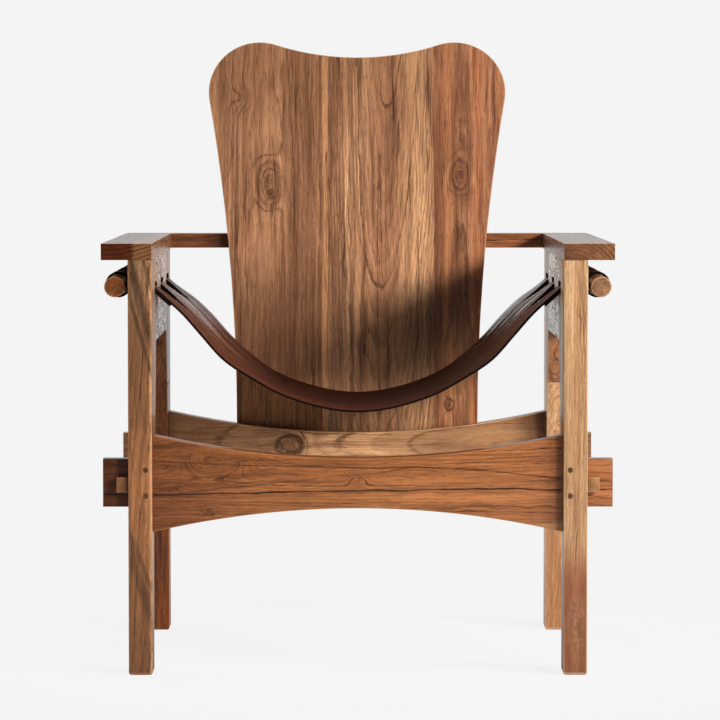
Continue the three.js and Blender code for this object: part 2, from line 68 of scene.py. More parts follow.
SEAT_FACE, LEG_FACE = span("front_leg_right", "X")
FRONT, PANEL_FRONT = span("front_leg_right", "Y")
LEG_TOP = span("front_leg_right", "Z")[1]


def rgb(red, green, blue):
    """A colour as a paint chart gives it, made linear."""
    def linear(channel):
        part = channel / 255
        return part / 12.92 if part <= 0.04045 else ((part + 0.055) / 1.055) ** 2.4
    return (linear(red), linear(green), linear(blue), 1)


class Tone:
    """A number that changes over a surface, with the usual arithmetic."""

    def __init__(self, finish, socket):
        self.finish = finish
        self.socket = socket

    def _math(self, operation, *values):
        return self.finish.node("ShaderNodeMath", {"operation": operation}, dict(enumerate(values)))

    def __add__(self, other):
        return self._math("ADD", self, other)

    __radd__ = __add__

    def __sub__(self, other):
        return self._math("SUBTRACT", self, other)

    def __rsub__(self, other):
        return self._math("SUBTRACT", other, self)

    def __mul__(self, other):
        return self._math("MULTIPLY", self, other)

    __rmul__ = __mul__

    def __truediv__(self, other):
        return self._math("DIVIDE", self, other)

    def __abs__(self):
        return self._math("ABSOLUTE", self)

    def root(self):
        return self._math("SQRT", self)

    def floor(self):
        return self._math("FLOOR", self)

    def part(self):
        return self._math("FRACT", self)

    def most(self, other):
        return self._math("MAXIMUM", self, other)

    def fading(self, rate):
        """1 where the number is 0, sinking towards 0 as it grows."""
        return self._math("EXPONENT", self * -rate)

    def bell(self):
        """1 where the number is 0, sinking towards 0 on both sides."""
        return (self * self).fading(1)

    def rise(self, start, end):
        """A soft step from 0 at start to 1 at end."""
        settings = {"interpolation_type": "SMOOTHSTEP"}
        values = {"Value": self, "From Min": start, "From Max": end}
        return self.finish.node("ShaderNodeMapRange", settings, values)

    def fall(self, start, end):
        """A soft step from 1 at start to 0 at end."""
        return 1 - self.rise(start, end)


class Finish:
    """A surface finish, put together node by node."""

    def __init__(self, name):
        self.material = bpy.data.materials.new(name)
        self.material.use_nodes = True
        self.tree = self.material.node_tree
        self.shader = self.tree.nodes["Principled BSDF"]

    def node(self, kind, settings=None, values=None, output=0):
        """One shader node, with its settings, and the values or links of its sockets."""
        node = self.tree.nodes.new(kind)
        for key, value in (settings or {}).items():
            setattr(node, key, value)
        for key, value in (values or {}).items():
            if isinstance(value, Tone):
                self.tree.links.new(value.socket, node.inputs[key])
            else:
                node.inputs[key].default_value = value
        return Tone(self, node.outputs[output])

    def place(self, turn=0, centre=(0, 0, 0)):
        """Where a point lies on the piece, turned about the X axis and centred."""
        where = self.node("ShaderNodeTexCoord", output="Object")
        shift = Euler((turn, 0, 0)).to_matrix() @ Vector(centre)
        values = {"Vector": where, "Location": tuple(-shift), "Rotation": (turn, 0, 0)}
        return self.node("ShaderNodeMapping", values=values)

    def split(self, vector):
        """The three coordinates of a place, by axis."""
        parts = self.tree.nodes.new("ShaderNodeSeparateXYZ")
        self.tree.links.new(vector.socket, parts.inputs[0])
        return {axis: Tone(self, parts.outputs[axis]) for axis in "XYZ"}

    def vector(self, x, y, z):
        return self.node("ShaderNodeCombineXYZ", values={"X": x, "Y": y, "Z": z})

    def noise(self, vector, scale=1.0, detail=2.0, rough=0.5):
        """A cloudy pattern from 0 to 1, finer with a larger scale."""
        values = {"Vector": vector, "Scale": scale, "Detail": detail, "Roughness": rough}
        return self.node("ShaderNodeTexNoise", values=values)

    def chance(self, number):
        """A fixed random value from 0 to 1 for each whole number."""
        settings = {"noise_dimensions": "1D"}
        return self.node("ShaderNodeTexWhiteNoise", settings, {"W": number})

    def blend(self, factor, below, above):
        """One colour laid over another, as strongly as factor says."""
        settings = {"data_type": "RGBA", "clamp_factor": True}
        return self.node("ShaderNodeMix", settings, {0: factor, 6: below, 7: above}, 2)

    def marked(self, name):
        """What a piece's faces are marked with under a name, from 0 to 1."""
        return self.node("ShaderNodeAttribute", {"attribute_name": name}, output="Fac")

    def feed(self, **values):
        """Set or link the shader's sockets, by their names."""
        for key, value in values.items():
            socket = self.shader.inputs[key.replace("_", " ")]
            if isinstance(value, Tone):
                self.tree.links.new(value.socket, socket)
            else:
                socket.default_value = value

    def bump(self, height, depth, strength=1.0):
        """Relief on the surface, for a height of 1 as deep as depth, in metres."""
        values = {"Height": height, "Distance": depth, "Strength": strength}
        return self.node("ShaderNodeBump", values=values)


# What marks a board, by its place on the face in metres. A knot lifts the year rings round it, a
# streak drifts from its straight line,
# and a ramp comes up along the board: some ramps are painted shadow, shade and light, some are
# changes in the wood's tone.
Knot = namedtuple("Knot", "across along size stretch lift dark")
Streak = namedtuple("Streak", "across slope half soft hue strength drift")
LightAndTone = namedtuple("LightAndTone", "start end hue strength")


class Board(Finish):
    """The face of a sawn board. grain names the axes along, across and through it."""

    def __init__(self, name, grain, seed, turn, centre):
        super().__init__(name)
        axes = self.split(self.place(turn, centre))
        self.along, self.across, self.through = (axes[letter] for letter in grain)
        self.material["grain"] = "XYZ".index(grain[0])
        self.seed = seed
        self.end_grain = self.marked("end_grain")
        self.wander = self.drawn_out(3.2, 9, 3, 0.45)
        self.ripple = self.drawn_out(22, 60, 3, 0.6)
        self.speck = self.drawn_out(130, 170, 3, 0.65)

    def drawn_out(self, lengthwise, crosswise, detail, rough=0.55, sideways=None):
        """A noise that is drawn out along the grain, from about -0.5 to 0.5."""
        sideways = sideways or self.across
        point = self.vector(sideways * crosswise + self.seed * 3.71,
                            self.through * crosswise, self.along * lengthwise)
        return self.noise(point, detail=detail, rough=rough) - 0.5

    def grow_knots(self, knots, core, curl):
        """Knots, which lift the year rings round them and turn the fibres aside. Each
        has a dark eye in a brown heart, a ring of bark round that, and a shaded halo."""
        self.lift = 0
        self.eye = 0
        self.heart = 0
        self.bark = 0
        self.halo = 0
        self.ringed = 0
        self.bent = self.across + self.ripple * curl
        for knot in knots:
            off = (self.across - knot.across) / knot.size
            up = (self.along - knot.along) / (knot.size * knot.stretch)
            flow = (off * off + up * up + self.wander * 0.8).most(0)
            reach = (flow + self.speck * 1.3 + self.ripple * 0.6).most(0)
            swell = flow.fading(0.8)
            self.lift = self.lift + swell * knot.lift
            self.eye = self.eye + reach.fall(0.02, 0.16) * (knot.dark * core)
            self.heart = self.heart + reach.fall(0.4, 1.1) * (knot.dark * core)
            self.bark = self.bark + ((reach.root() - 1) * 5).bell() * knot.dark
            self.halo = self.halo + reach.fall(0.3, 2.6) * knot.dark
            self.ringed = self.ringed + reach.fall(1.0, 5.0)
            self.bent = self.bent - (self.across - knot.across) * swell * 0.7

    def grow_rings(self, pith, lean, wave, ring):
        """Year rings, by the distance from the log's heart, which leans and wanders. Some
        years draw a stronger line at their edge than others."""
        sideways = self.across - self.along * lean[0] - pith[0]
        inwards = self.through - self.along * lean[1] - pith[1]
        radius = (sideways * sideways + inwards * inwards).root()
        year = (radius + self.wander * wave + self.ripple * 0.0045 + self.lift) / ring
        self.within = year.part()
        self.fade = self.drawn_out(5, 30, 1)
        luck = self.chance(year.floor() + self.seed)
        strong = (luck * luck * 1.1 + 0.30) * (self.fade * 2.4 + 0.9) + self.ringed * 0.35
        self.edge = self.within.fall(0.14, 0.32) * strong
        self.autumn = self.within * self.within * (luck * 0.6 + 0.25)

    def draw_fibres(self):
        """Fibres, bands, pores and dark threads, which run round the knots. Fibres and
        pores hardly show on end grain."""
        lengthwise = 1 - self.end_grain * 0.8
        self.hair = self.drawn_out(26, 440, 4, 0.72, self.bent) * lengthwise
        self.dash = self.drawn_out(55, 620, 2, 0.55, self.bent) * lengthwise
        self.band = self.drawn_out(5, 95, 2, 0.6, self.bent)
        self.cloud = self.drawn_out(1.7, 20, 2, 0.5, self.bent)
        self.pore = (self.dash + (1 - self.within) * 0.03).rise(0.070, 0.13)
        thread = abs(self.drawn_out(2.6, 105, 3, 0.5, self.bent)).fall(0.008, 0.030)
        self.thread = thread * (self.band * 4 + 0.75)
        fine = abs(self.drawn_out(4.5, 250, 2, 0.5, self.bent)).fall(0.020, 0.07)
        self.fine = fine * (self.band * 3 + 0.6)


def teak(name, grain, pale, brown, line, pith, ring, seed, wave=0.012, lean=(0, 0),
         knots=(), streaks=(), light_and_tone=(), pores=0.8, broad=0.8, drawn=0.8,
         relief=0.3, gloss=0.30, lustre=0.32, checks=0, curl=0.008, face=None,
         core=1.0, turn=0, centre=(0, 0, 0)):
    """Oiled teak, in the colours of its pale wood, its brown wood and its dark lines.
    pith is where the heart of the log runs, across and through the board, and ring is
    a year's growth. Where face is given, streaks go steeply in from that face."""
    board = Board(name, grain, seed, turn, centre)
    board.grow_knots(knots, core, curl)
    board.grow_rings(pith, lean, wave, ring)
    board.draw_fibres()
    hair, pore, speck, end_grain = board.hair, board.pore, board.speck, board.end_grain

    mix = 0.32 + hair * 0.7 + board.band * 0.6 + board.cloud * 1.3 * broad + board.autumn * 0.34
    colour = board.blend(mix * 2, pale, brown)
    colour = board.blend((mix * 2 - 1) * 0.62, colour, line)
    # Ramps along the board: painted shadow, shade and light, and changes of tone
    for shade in light_and_tone:
        level = board.along + board.wander * 0.06 + board.cloud * 0.05
        colour = board.blend(level.rise(shade.start, shade.end) * shade.strength, colour, shade.hue)
    for streak in streaks:
        inside = 0 if face is None else (board.through - face) * 1.5
        away = abs(board.across - board.along * streak.slope - streak.across + inside
                   + board.wander * streak.drift + board.ripple * 0.004)
        mask = away.fall(streak.half, streak.half + streak.soft)
        colour = board.blend(mask * (hair * 2.2 + 0.8) * streak.strength, colour, streak.hue)
    if knots:
        colour = board.blend(board.halo * (speck * 1.5 + 0.42), colour, brown)
    colour = board.blend(board.edge * (board.dash * 2.4 + 0.9) * drawn, colour, line)
    if knots:
        colour = board.blend(board.heart * (speck + 0.26), colour, line)
        colour = board.blend(board.bark * (speck * 2 + 0.60), colour, line)
        colour = board.blend(board.eye * (speck * 2 + 0.9), colour, line)
    marks = (pore * 0.45).most(board.thread * 0.72).most(board.fine * 0.70)
    colour = board.blend(marks * (1 - end_grain * 0.7) * pores, colour, line)
    colour = board.blend(end_grain * (0.30 + board.edge * 0.6), colour, line)
    # Painted highlight along the eased edges, where they catch the light
    colour = board.blend(board.marked("eased") * 0.45, colour, pale)

    height = hair * 0.6 - pore * 0.45
    matt = hair * 0.10 + pore * 0.12
    if checks:
        # Small drying checks, which run across the grain as much as along it
        check = abs(board.drawn_out(20, 100, 3, 0.6)).fall(0.012, 0.06)
        check = check * (board.fade * 2 + 0.9) * checks
        colour = board.blend(check * 0.9, colour, line)
        height = height - check * 0.8
        matt = matt + check * 0.25
    board.feed(
        Base_Color=colour,
        Roughness=gloss + matt,
        Specular_IOR_Level=lustre,
        Normal=board.bump(height, 0.0005, relief),
    )
    return board.material


def only(piece):
    """Select one piece and nothing else."""
    bpy.ops.object.select_all(action="DESELECT")
    piece.select_set(True)
    bpy.context.view_layer.objects.active = piece


# Edges sharper than this are eased, unless both ends lie this near to a joint's plane
SHARP = math.radians(35)
IN_JOINT = 0.0008


def outer_edges(mesh, joint_planes):
    """The sharp edges of a piece's outline, without those of its holes, and without
    those in the plane of a joint, where another piece is fitted against it."""
    beside = {}
    for face in mesh.polygons:
        for key in face.edge_keys:
            beside.setdefault(key, []).append(face.normal)
    sharp = {}
    for edge in mesh.edges:
        normals = beside[edge.key]
        if len(normals) == 2 and normals[0].angle(normals[1], 0) > SHARP:
            sharp[edge.index] = edge.vertices[:]
    meeting = {}
    for index, ends in sharp.items():
        for end in ends:
            meeting.setdefault(end, []).append(index)
    seen = set()
    largest = []
    for start in sharp:
        if start in seen:
            continue
        net = [start]
        seen.add(start)
        for index in net:
            for end in sharp[index]:
                fresh = [other for other in meeting[end] if other not in seen]
                seen.update(fresh)
                net.extend(fresh)
        if len(net) > len(largest):
            largest = net

    def fitted(index):
        ends = [mesh.vertices[end].co for end in sharp[index]]
        return any(all(abs(end["XYZ".index(axis)] - level) < IN_JOINT for end in ends)
                   for axis, level in joint_planes)

    return [index for index in largest if not fitted(index)]


NEAR_FLOOR = 0.001
WELD = 0.00002
NEARLY_FLAT = math.radians(0.6)
SMOOTH_UP_TO = math.radians(28)
ACROSS_GRAIN = 0.8


def worked(node, body, wood, joint_planes=(), ease=EASE, foot=0):
    """A sawn piece with its outer edges eased, in place of its plain solid. Its faces
    are marked where they are end grain, and where they are eased. joint_planes gives the
    planes, by axis and level, in which its edges stay sharp."""
    piece = bpy.data.objects.new(node + "_wood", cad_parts[node].data.copy())
    bpy.context.scene.collection.objects.link(piece)
    only(piece)
    bpy.ops.mesh.customdata_custom_splitnormals_clear()
    bpy.ops.object.mode_set(mode="EDIT")
    bpy.ops.mesh.select_all(action="SELECT")
    bpy.ops.mesh.remove_doubles(threshold=WELD)
    bpy.ops.mesh.dissolve_limited(angle_limit=NEARLY_FLAT)
    bpy.ops.object.mode_set(mode="OBJECT")
    mesh = piece.data
    widest = max(ease, foot)
    weights = mesh.attributes.new("bevel_weight_edge", "FLOAT", "EDGE")
    for index in outer_edges(mesh, joint_planes):
        highest = max(mesh.vertices[end].co.z for end in mesh.edges[index].vertices)
        weights.data[index].value = (foot if foot and highest < NEAR_FLOOR else ease) / widest
    mesh.materials.clear()
    mesh.materials.append(wood)
    mesh.materials.append(wood)
    for face in mesh.polygons:
        face.material_index = 0
    rounding = piece.modifiers.new("rounding", "BEVEL")
    rounding.limit_method = "WEIGHT"
    rounding.width = widest
    rounding.segments = 3
    rounding.material = 1
    rounding.use_clamp_overlap = False
    bpy.ops.object.modifier_apply(modifier=rounding.name)
    eased = piece.data.attributes.new("eased", "FLOAT", "FACE")
    end_grain = piece.data.attributes.new("end_grain", "FLOAT", "FACE")
    for face in piece.data.polygons:
        eased.data[face.index].value = face.material_index
        end_grain.data[face.index].value = abs(face.normal[wood["grain"]]) > ACROSS_GRAIN
        face.material_index = 0
    piece.data.materials.pop(index=1)
    bpy.ops.object.shade_smooth_by_angle(angle=SMOOTH_UP_TO)
    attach(piece, body)
    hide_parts(node)
    return piece


SLOT_LOW = 0.5275
SLOT_HIGH = 0.5445
# Painted shade: the walls of the strap slots get a near-black colour, as dark as the slots look
# inside.
slot_shade = Finish("slot_wall_painted_shade")
slot_shade_mottle = slot_shade.noise(slot_shade.place(), scale=160, detail=3)
slot_shade.feed(Base_Color=slot_shade.blend(slot_shade_mottle, rgb(12, 8, 6), rgb(26, 16, 11)), Roughness=0.7)


def paint_slot_shade(piece):
    """Paint shade on the walls of the slots that the straps pass through."""
    piece.data.materials.append(slot_shade.material)
    for face in piece.data.polygons:
        inside = SEAT_FACE < abs(face.center.x) < LEG_FACE
        wall = abs(face.normal.x) < 0.5
        if inside and wall and SLOT_LOW < face.center.z < SLOT_HIGH:
            face.material_index = 1


front_leg_wood = {
    "left": teak(
        "teak_front_leg_left", "ZXY", rgb(164, 109, 67), rgb(111, 69, 41), rgb(66, 42, 27),
        pith=(-0.262, -0.30), ring=0.0062, seed=3, wave=0.030, lean=(0.028, 0.05),
        streaks=[
            # The first streak is a painted highlight along the leg's inner front edge
            Streak(-0.2868, 0.000, 0.0012, 0.0016, rgb(196, 146, 102), 0.75, 0.002),
            Streak(-0.1560, -0.28, 0.0024, 0.008, rgb(44, 30, 20), 0.90, 0.010),
            Streak(-0.1690, -0.28, 0.0010, 0.003, rgb(44, 30, 20), 0.80, 0.014),
            Streak(-0.1420, -0.27, 0.0010, 0.003, rgb(44, 30, 20), 0.75, 0.014),
            Streak(-0.2590, -0.35, 0.0030, 0.009, rgb(68, 43, 26), 0.62, 0.02),
            Streak(-0.2360, -0.42, 0.0012, 0.004, rgb(68, 43, 26), 0.62, 0.02),
        ],
        light_and_tone=[
            LightAndTone(0.336, 0.343, rgb(108, 73, 46), 0.58),
            LightAndTone(0.44, 0.56, rgb(142, 110, 80), 0.45),
            LightAndTone(0.24, 0.04, rgb(88, 57, 35), 0.60),
        ],
        drawn=0.6, curl=0.016, face=FRONT,
    ),
    "right": teak(
        "teak_front_leg_right", "ZXY", rgb(180, 149, 112), rgb(153, 118, 83), rgb(90, 58, 37),
        pith=(0.400, -0.290), ring=0.0038, seed=8, wave=0.014, lean=(0.012, 0.02),
        knots=[Knot(0.310, 0.066, 0.0150, 2.2, 0.024, 0.55)],
        streaks=[
            Streak(0.302, 0.004, 0.003, 0.004, rgb(136, 92, 60), 0.55, 0.004),
            Streak(0.334, 0.030, 0.002, 0.004, rgb(132, 88, 56), 0.50, 0.010),
        ],
        light_and_tone=[LightAndTone(0.20, 0.12, rgb(106, 46, 26), 0.82)],
        drawn=0.72, curl=0.008, face=FRONT,
    ),
}
for side, wood in front_leg_wood.items():
    slot = "pale_teak" if side == "right" else "brown_teak"
    fitted = [("Z", LEG_TOP), ("Y", PANEL_FRONT)]
    leg = worked(f"front_leg_{side}", "frame", wood, fitted, foot=FOOT_EASE)
    paint_slot_shade(leg)

# Rear legs: each of two teak boards, a long foot and a head, spliced end to end
# with a stub tenon and glued. The two boards of a leg differ in tone and grain.
BARK = rgb(52, 32, 22)
SPLICE = span("rear_leg_upper_left", "Z")[0]
PANEL_REAR = span("rear_leg_upper_left", "Y")[0]
rear_leg_wood = {
    "lower_left": teak(
        "teak_rear_foot_left", "ZXY", rgb(161, 87, 36), rgb(108, 54, 21), BARK,
        pith=(-0.34, 0.26), ring=0.0060, seed=14, wave=0.018, lean=(0.02, 0.06), drawn=0.5,
    ),
    "lower_right": teak(
        "teak_rear_foot_right", "ZXY", rgb(196, 157, 115), rgb(164, 119, 81), rgb(118, 76, 46),
        pith=(0.25, 0.13), ring=0.0058, seed=21, wave=0.022, lean=(0.16, 0.05), drawn=0.6,
        light_and_tone=[LightAndTone(0.28, 0.16, rgb(146, 94, 56), 0.5)],
    ),
    "upper_left": teak(
        "teak_rear_head_left", "ZXY", rgb(158, 95, 52), rgb(104, 60, 33), BARK,
        pith=(-0.27, 0.14), ring=0.0052, seed=5, wave=0.030, lean=(0.06, 0.05),
        knots=[Knot(-0.300, 0.440, 0.008, 1.5, 0.010, 0.8)],
    ),
    "upper_right": teak(
        "teak_rear_head_right", "ZXY", rgb(192, 138, 93), rgb(132, 87, 56), rgb(84, 53, 35),
        pith=(0.33, 0.15), ring=0.0052, seed=11, wave=0.030, lean=(0.05, 0.10),
        knots=[Knot(0.300, 0.398, 0.012, 1.5, 0.016, 0.8)],
    ),
}
for part, wood in rear_leg_wood.items():
    fitted = [("Z", SPLICE), ("Z", LEG_TOP), ("Y", PANEL_REAR)]
    leg = worked(f"rear_leg_{part}", "frame", wood, fitted, foot=FOOT_EASE)
    if part.startswith("upper"):
        paint_slot_shade(leg)

# Side panels: a short teak board between the legs of each side, its grain level,
# glued to them on loose tongues and cut with three slots for the straps.
side_panel_wood = {
    "left": teak(
        "teak_side_panel_left", "YZX", rgb(186, 140, 102), rgb(136, 95, 66), rgb(56, 36, 24),
        pith=(0.56, -0.26), ring=0.0046, seed=2, wave=0.030, lean=(0.05, 0.10), relief=1.0,
        gloss=0.2, lustre=0.8, checks=0.7,
        knots=[Knot(0.488, -0.05, 0.012, 1.5, 0.012, 0.5)],
    ),
    "right": teak(
        "teak_side_panel_right", "YZX", rgb(216, 176, 130), rgb(172, 128, 88), rgb(78, 50, 33),
        pith=(0.45, 0.26), ring=0.0044, seed=17, wave=0.034, lean=(0.10, 0.05), relief=1.0,
        gloss=0.2, lustre=0.8, checks=0.7,
        knots=[
            Knot(0.492, -0.10, 0.014, 1.5, 0.014, 0.5),
            Knot(0.560, 0.02, 0.010, 1.5, 0.010, 0.4),
        ],
    ),
}
for side, wood in side_panel_wood.items():
    slot = "pale_teak" if side == "right" else "brown_teak"
    fitted = [("Z", LEG_TOP), ("Y", PANEL_FRONT), ("Y", PANEL_REAR)]
    paint_slot_shade(worked(f"side_panel_{side}", "frame", wood, joint_planes=fitted))

# Rails: one board in front and one behind, hollow above and rising below, with
# tenons that run right through the legs and stand out on the far side.
INK = rgb(34, 18, 11)
rail_wood = {
    "front": teak(
        "teak_front_rail", "XZY", rgb(163, 103, 59), rgb(120, 72, 39), rgb(45, 24, 12),
        pith=(0.350, -0.300), ring=0.0046, seed=6, wave=0.022, lean=(0.01, 0.0),
        knots=[
            Knot(0.304, -0.203, 0.021, 2.3, 0.060, 0.32),
            Knot(0.273, 0.000, 0.008, 1.8, 0.012, 0.20),
            Knot(0.229, -0.207, 0.008, 1.6, 0.011, 0.35),
            Knot(0.261, -0.262, 0.008, 2.0, 0.011, 0.35),
            Knot(0.221, 0.168, 0.008, 1.6, -0.006, 0.1),
        ],
        streaks=[
            Streak(0.2545, 0.008, 0.0005, 0.0012, INK, 1.10, 0.012),
            Streak(0.2245, 0.004, 0.0003, 0.0010, INK, 0.60, 0.014),
            Streak(0.2860, -0.050, 0.0004, 0.0012, INK, 0.80, 0.030),
            Streak(0.2760, 0.075, 0.0004, 0.0012, INK, 0.60, 0.034),
            Streak(0.1960, 0.030, 0.006, 0.004, rgb(176, 130, 84), 0.6, 0.006),
        ],
        # Painted shade towards the left end, a painted shadow of the left leg on the left tenon,
        # and darker towards the right end
        light_and_tone=[
            LightAndTone(-0.08, -0.36, rgb(74, 32, 13), 0.60),
            LightAndTone(-0.31, -0.35, rgb(66, 22, 6), 0.6),
            LightAndTone(0.10, 0.30, rgb(140, 86, 52), 0.6),
        ],
        drawn=0.58, curl=0.014, pores=0.6, broad=0.6,
    ),
    "rear": teak(
        "teak_rear_rail", "XZY", rgb(226, 175, 125), rgb(179, 130, 90), rgb(84, 52, 33),
        pith=(0.281, 0.2125), ring=0.0075, seed=9, wave=0.016, lean=(0.00, -0.15),
        knots=[
            Knot(0.281, -0.103, 0.0155, 1.35, 0.030, 1.3),
            Knot(0.283, -0.101, 0.0125, 1.30, 0.000, 0.9),
        ],
        # Darker on the right half, a painted shadow of the right front leg at the right end, and
        # painted shade towards the left end
        light_and_tone=[
            LightAndTone(0.02, 0.14, rgb(128, 90, 60), 0.75),
            LightAndTone(0.22, 0.26, rgb(90, 58, 38), 0.5),
            LightAndTone(-0.14, -0.24, rgb(150, 98, 62), 0.5),
        ],
        drawn=0.5, core=0.30,
    ),
}
for end, wood in rail_wood.items():
    shoulders = [("X", SEAT_FACE), ("X", -SEAT_FACE)]
    worked(f"{end}_rail", "frame", wood, joint_planes=shoulders)

# Pegs: short dowels of dark teak, two in each leg. They are driven through the leg
# and its tenon, and cut off flush.
PEG_EASE = 0.0004
peg_wood = teak(
    "teak_peg", "YXZ", rgb(112, 74, 50), rgb(78, 50, 34), BARK,
    pith=(0.30, 0.27), ring=0.0016, seed=4, wave=0.004,
)
for end in ("front", "rear"):
    for side in ("left", "right"):
        for level in ("lower", "upper"):
            node = f"{end}_peg_{side}_{level}"
            worked(node, "frame", peg_wood, ease=PEG_EASE)

# Wedges: tapered teak keys, pushed through each tenon against the leg's outer
# face, so the rails draw tight and still come apart.
WEDGE_EASE = 0.0012
wedge_wood = teak(
    "teak_wedge", "YZX", rgb(158, 114, 74), rgb(120, 79, 48), rgb(68, 42, 25),
    pith=(0.29, 0.0), ring=0.0036, seed=19, wave=0.010, drawn=0.5,
)
for end in ("front", "rear"):
    for side in ("left", "right"):
        node = f"{end}_wedge_{side}"
        worked(node, f"wedge_{end}_{side}", wedge_wood, ease=WEDGE_EASE)

# Back board: three staves glued edge to edge on loose splines, then sawn to two
# lobes with a dip between them. It leans back against the rail and the bar.
RECLINE = math.radians(12)
BOARD_FOOT = (0, FRONT + 0.524, 0.300)
upright = {"turn": RECLINE, "centre": BOARD_FOOT}
stave_wood = {
    "left": teak(
        "teak_stave_left", "ZXY", rgb(203, 149, 107), rgb(149, 102, 72), rgb(70, 41, 27),
        pith=(-0.145, 0.045), ring=0.0050, seed=1, wave=0.020, lean=(0.01, 0.03),
        knots=[
            Knot(-0.135, 0.384, 0.0165, 2.0, 0.022, 0.65),
            Knot(-0.132, 0.369, 0.0060, 1.1, 0.008, 1.2),
            Knot(-0.178, 0.520, 0.0120, 1.2, 0.010, 0.2),
        ],
        streaks=[
            Streak(-0.078, 0, 0.012, 0.022, rgb(92, 58, 38), 0.35, 0.03),
            Streak(-0.0490, 0, 0.0028, 0.002, rgb(206, 146, 96), 0.6, 0.003),
            Streak(-0.0560, 0, 0.0012, 0.003, rgb(84, 48, 30), 0.5, 0.008),
        ],
        # Painted shadow of the seat above its edge, painted light on the board below the seat, and
        # painted shade towards the top, where the light falls off
        light_and_tone=[
            LightAndTone(0.31, 0.15, rgb(68, 38, 24), 0.66),
            LightAndTone(0.10, 0.055, rgb(158, 108, 70), 0.75),
            LightAndTone(0.38, 0.56, rgb(124, 83, 55), 0.52),
        ],
        pores=0.9, drawn=0.5, gloss=0.36, **upright,
    ),
    "middle": teak(
        "teak_stave_middle", "ZXY", rgb(225, 170, 123), rgb(160, 110, 78), rgb(63, 36, 25),
        pith=(0.032, 0.0750), ring=0.0042, seed=12, wave=0.012, lean=(0.03, -0.090),
        streaks=[
            Streak(-0.034, 0, 0.006, 0.010, rgb(84, 52, 34), 0.55, 0.02),
            Streak(-0.010, 0, 0.002, 0.004, rgb(76, 46, 30), 0.6, 0.03),
            Streak(0.006, 0, 0.0015, 0.003, rgb(76, 46, 30), 0.5, 0.03),
            Streak(0.092, 0, 0.012, 0.020, rgb(198, 150, 106), 0.45, 0.02),
            Streak(0.112, 0, 0.003, 0.003, rgb(150, 104, 70), 0.5, 0.004),
        ],
        # Painted shadow of the seat above its edge, painted shade towards the top, where the light
        # falls off, and painted light on the board below the seat
        light_and_tone=[
            LightAndTone(0.30, 0.15, rgb(74, 44, 28), 0.42),
            LightAndTone(0.38, 0.56, rgb(122, 81, 54), 0.55),
            LightAndTone(0.10, 0.055, rgb(190, 138, 96), 0.5),
        ],
        pores=0.9, drawn=0.8, gloss=0.36, **upright,
    ),
    "right": teak(
        "teak_stave_right", "ZXY", rgb(195, 137, 97), rgb(140, 91, 62), rgb(68, 37, 26),
        pith=(0.157, 0.05), ring=0.0056, seed=15, wave=0.012, lean=(0, 0.02),
        knots=[
            Knot(0.157, 0.398, 0.0125, 1.8, 0.016, 0.75),
            Knot(0.160, 0.440, 0.0125, 6.0, 0.004, 0.30),
            Knot(0.140, 0.042, 0.0070, 1.3, 0.008, 1.0),
        ],
        streaks=[
            Streak(0.1245, 0, 0.0050, 0.006, rgb(98, 54, 34), 0.5, 0.006),
            Streak(0.1390, 0, 0.0060, 0.008, rgb(176, 112, 68), 0.35, 0.010),
            Streak(0.1570, 0, 0.0060, 0.012, rgb(98, 64, 42), 0.45, 0.016),
            Streak(0.1840, 0, 0.0050, 0.008, rgb(146, 76, 42), 0.4, 0.010),
        ],
        pores=0.9, drawn=0.5, gloss=0.36, **upright,
    ),
}
JOINT_LEFT = (span("back_stave_left", "X")[1] + span("back_stave_middle", "X")[0]) / 2
JOINT_RIGHT = (span("back_stave_middle", "X")[1] + span("back_stave_right", "X")[0]) / 2
glued = [("X", JOINT_LEFT), ("X", JOINT_RIGHT)]
for part, wood in stave_wood.items():
    worked(f"back_stave_{part}", "frame", wood, joint_planes=glued)

# Screws: plain steel countersunk screws that hold the board to the rear rail and
# the bar, their heads turned in a die and a little dulled.
steel = Finish("dull_steel")
scuff = steel.noise(steel.place(), scale=900, detail=3)
steel.feed(
    Base_Color=steel.blend(scuff, rgb(150, 148, 144), rgb(196, 194, 190)),
    Metallic=1.0,
    Roughness=0.32 + scuff * 0.2,
)
for place in ("rail", "bar"):
    for where in ("left", "middle", "right"):
        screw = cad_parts[f"{place}_screw_{where}"]
        screw.data.materials.clear()
        screw.data.materials.append(steel.material)

# Armrests: a flat teak board on each side frame, standing out past the leg and
# running back to the bar, on hidden dowels.
armrest_wood = {
    "left": teak(
        "teak_armrest_left", "YXZ", rgb(101, 42, 8), rgb(66, 24, 4), rgb(25, 7, 1),
        pith=(-0.340, 0.740), ring=0.0060, seed=7, wave=0.016, lean=(0.01, 0.01),
        streaks=[Streak(-0.292, 0.010, 0.012, 0.008, rgb(176, 122, 76), 0.5, 0.02)],
        gloss=0.26, lustre=0.35,
    ),
    "right": teak(
        "teak_armrest_right", "YXZ", rgb(136, 90, 56), rgb(93, 57, 33), rgb(38, 21, 12),
        pith=(0.300, 0.545), ring=0.0056, seed=18, wave=0.012, lean=(0.02, 0.01),
        gloss=0.26, lustre=0.5,
    ),
}
for side, wood in armrest_wood.items():
    worked(f"armrest_{side}", "frame", wood)

# Bar: a teak batten behind the board, doweled between the ends of the armrests,
# and housed a little to take the board's lean.
bar_wood = teak(
    "teak_back_bar", "XZY", rgb(152, 93, 57), rgb(99, 58, 36), rgb(42, 24, 15),
    pith=(0.64, 0.33), ring=0.0052, seed=10, wave=0.014, lean=(0.01, 0.01),
    light_and_tone=[LightAndTone(-0.05, 0.15, rgb(176, 108, 66), 0.3)],
)
worked("back_bar", "frame", bar_wood)

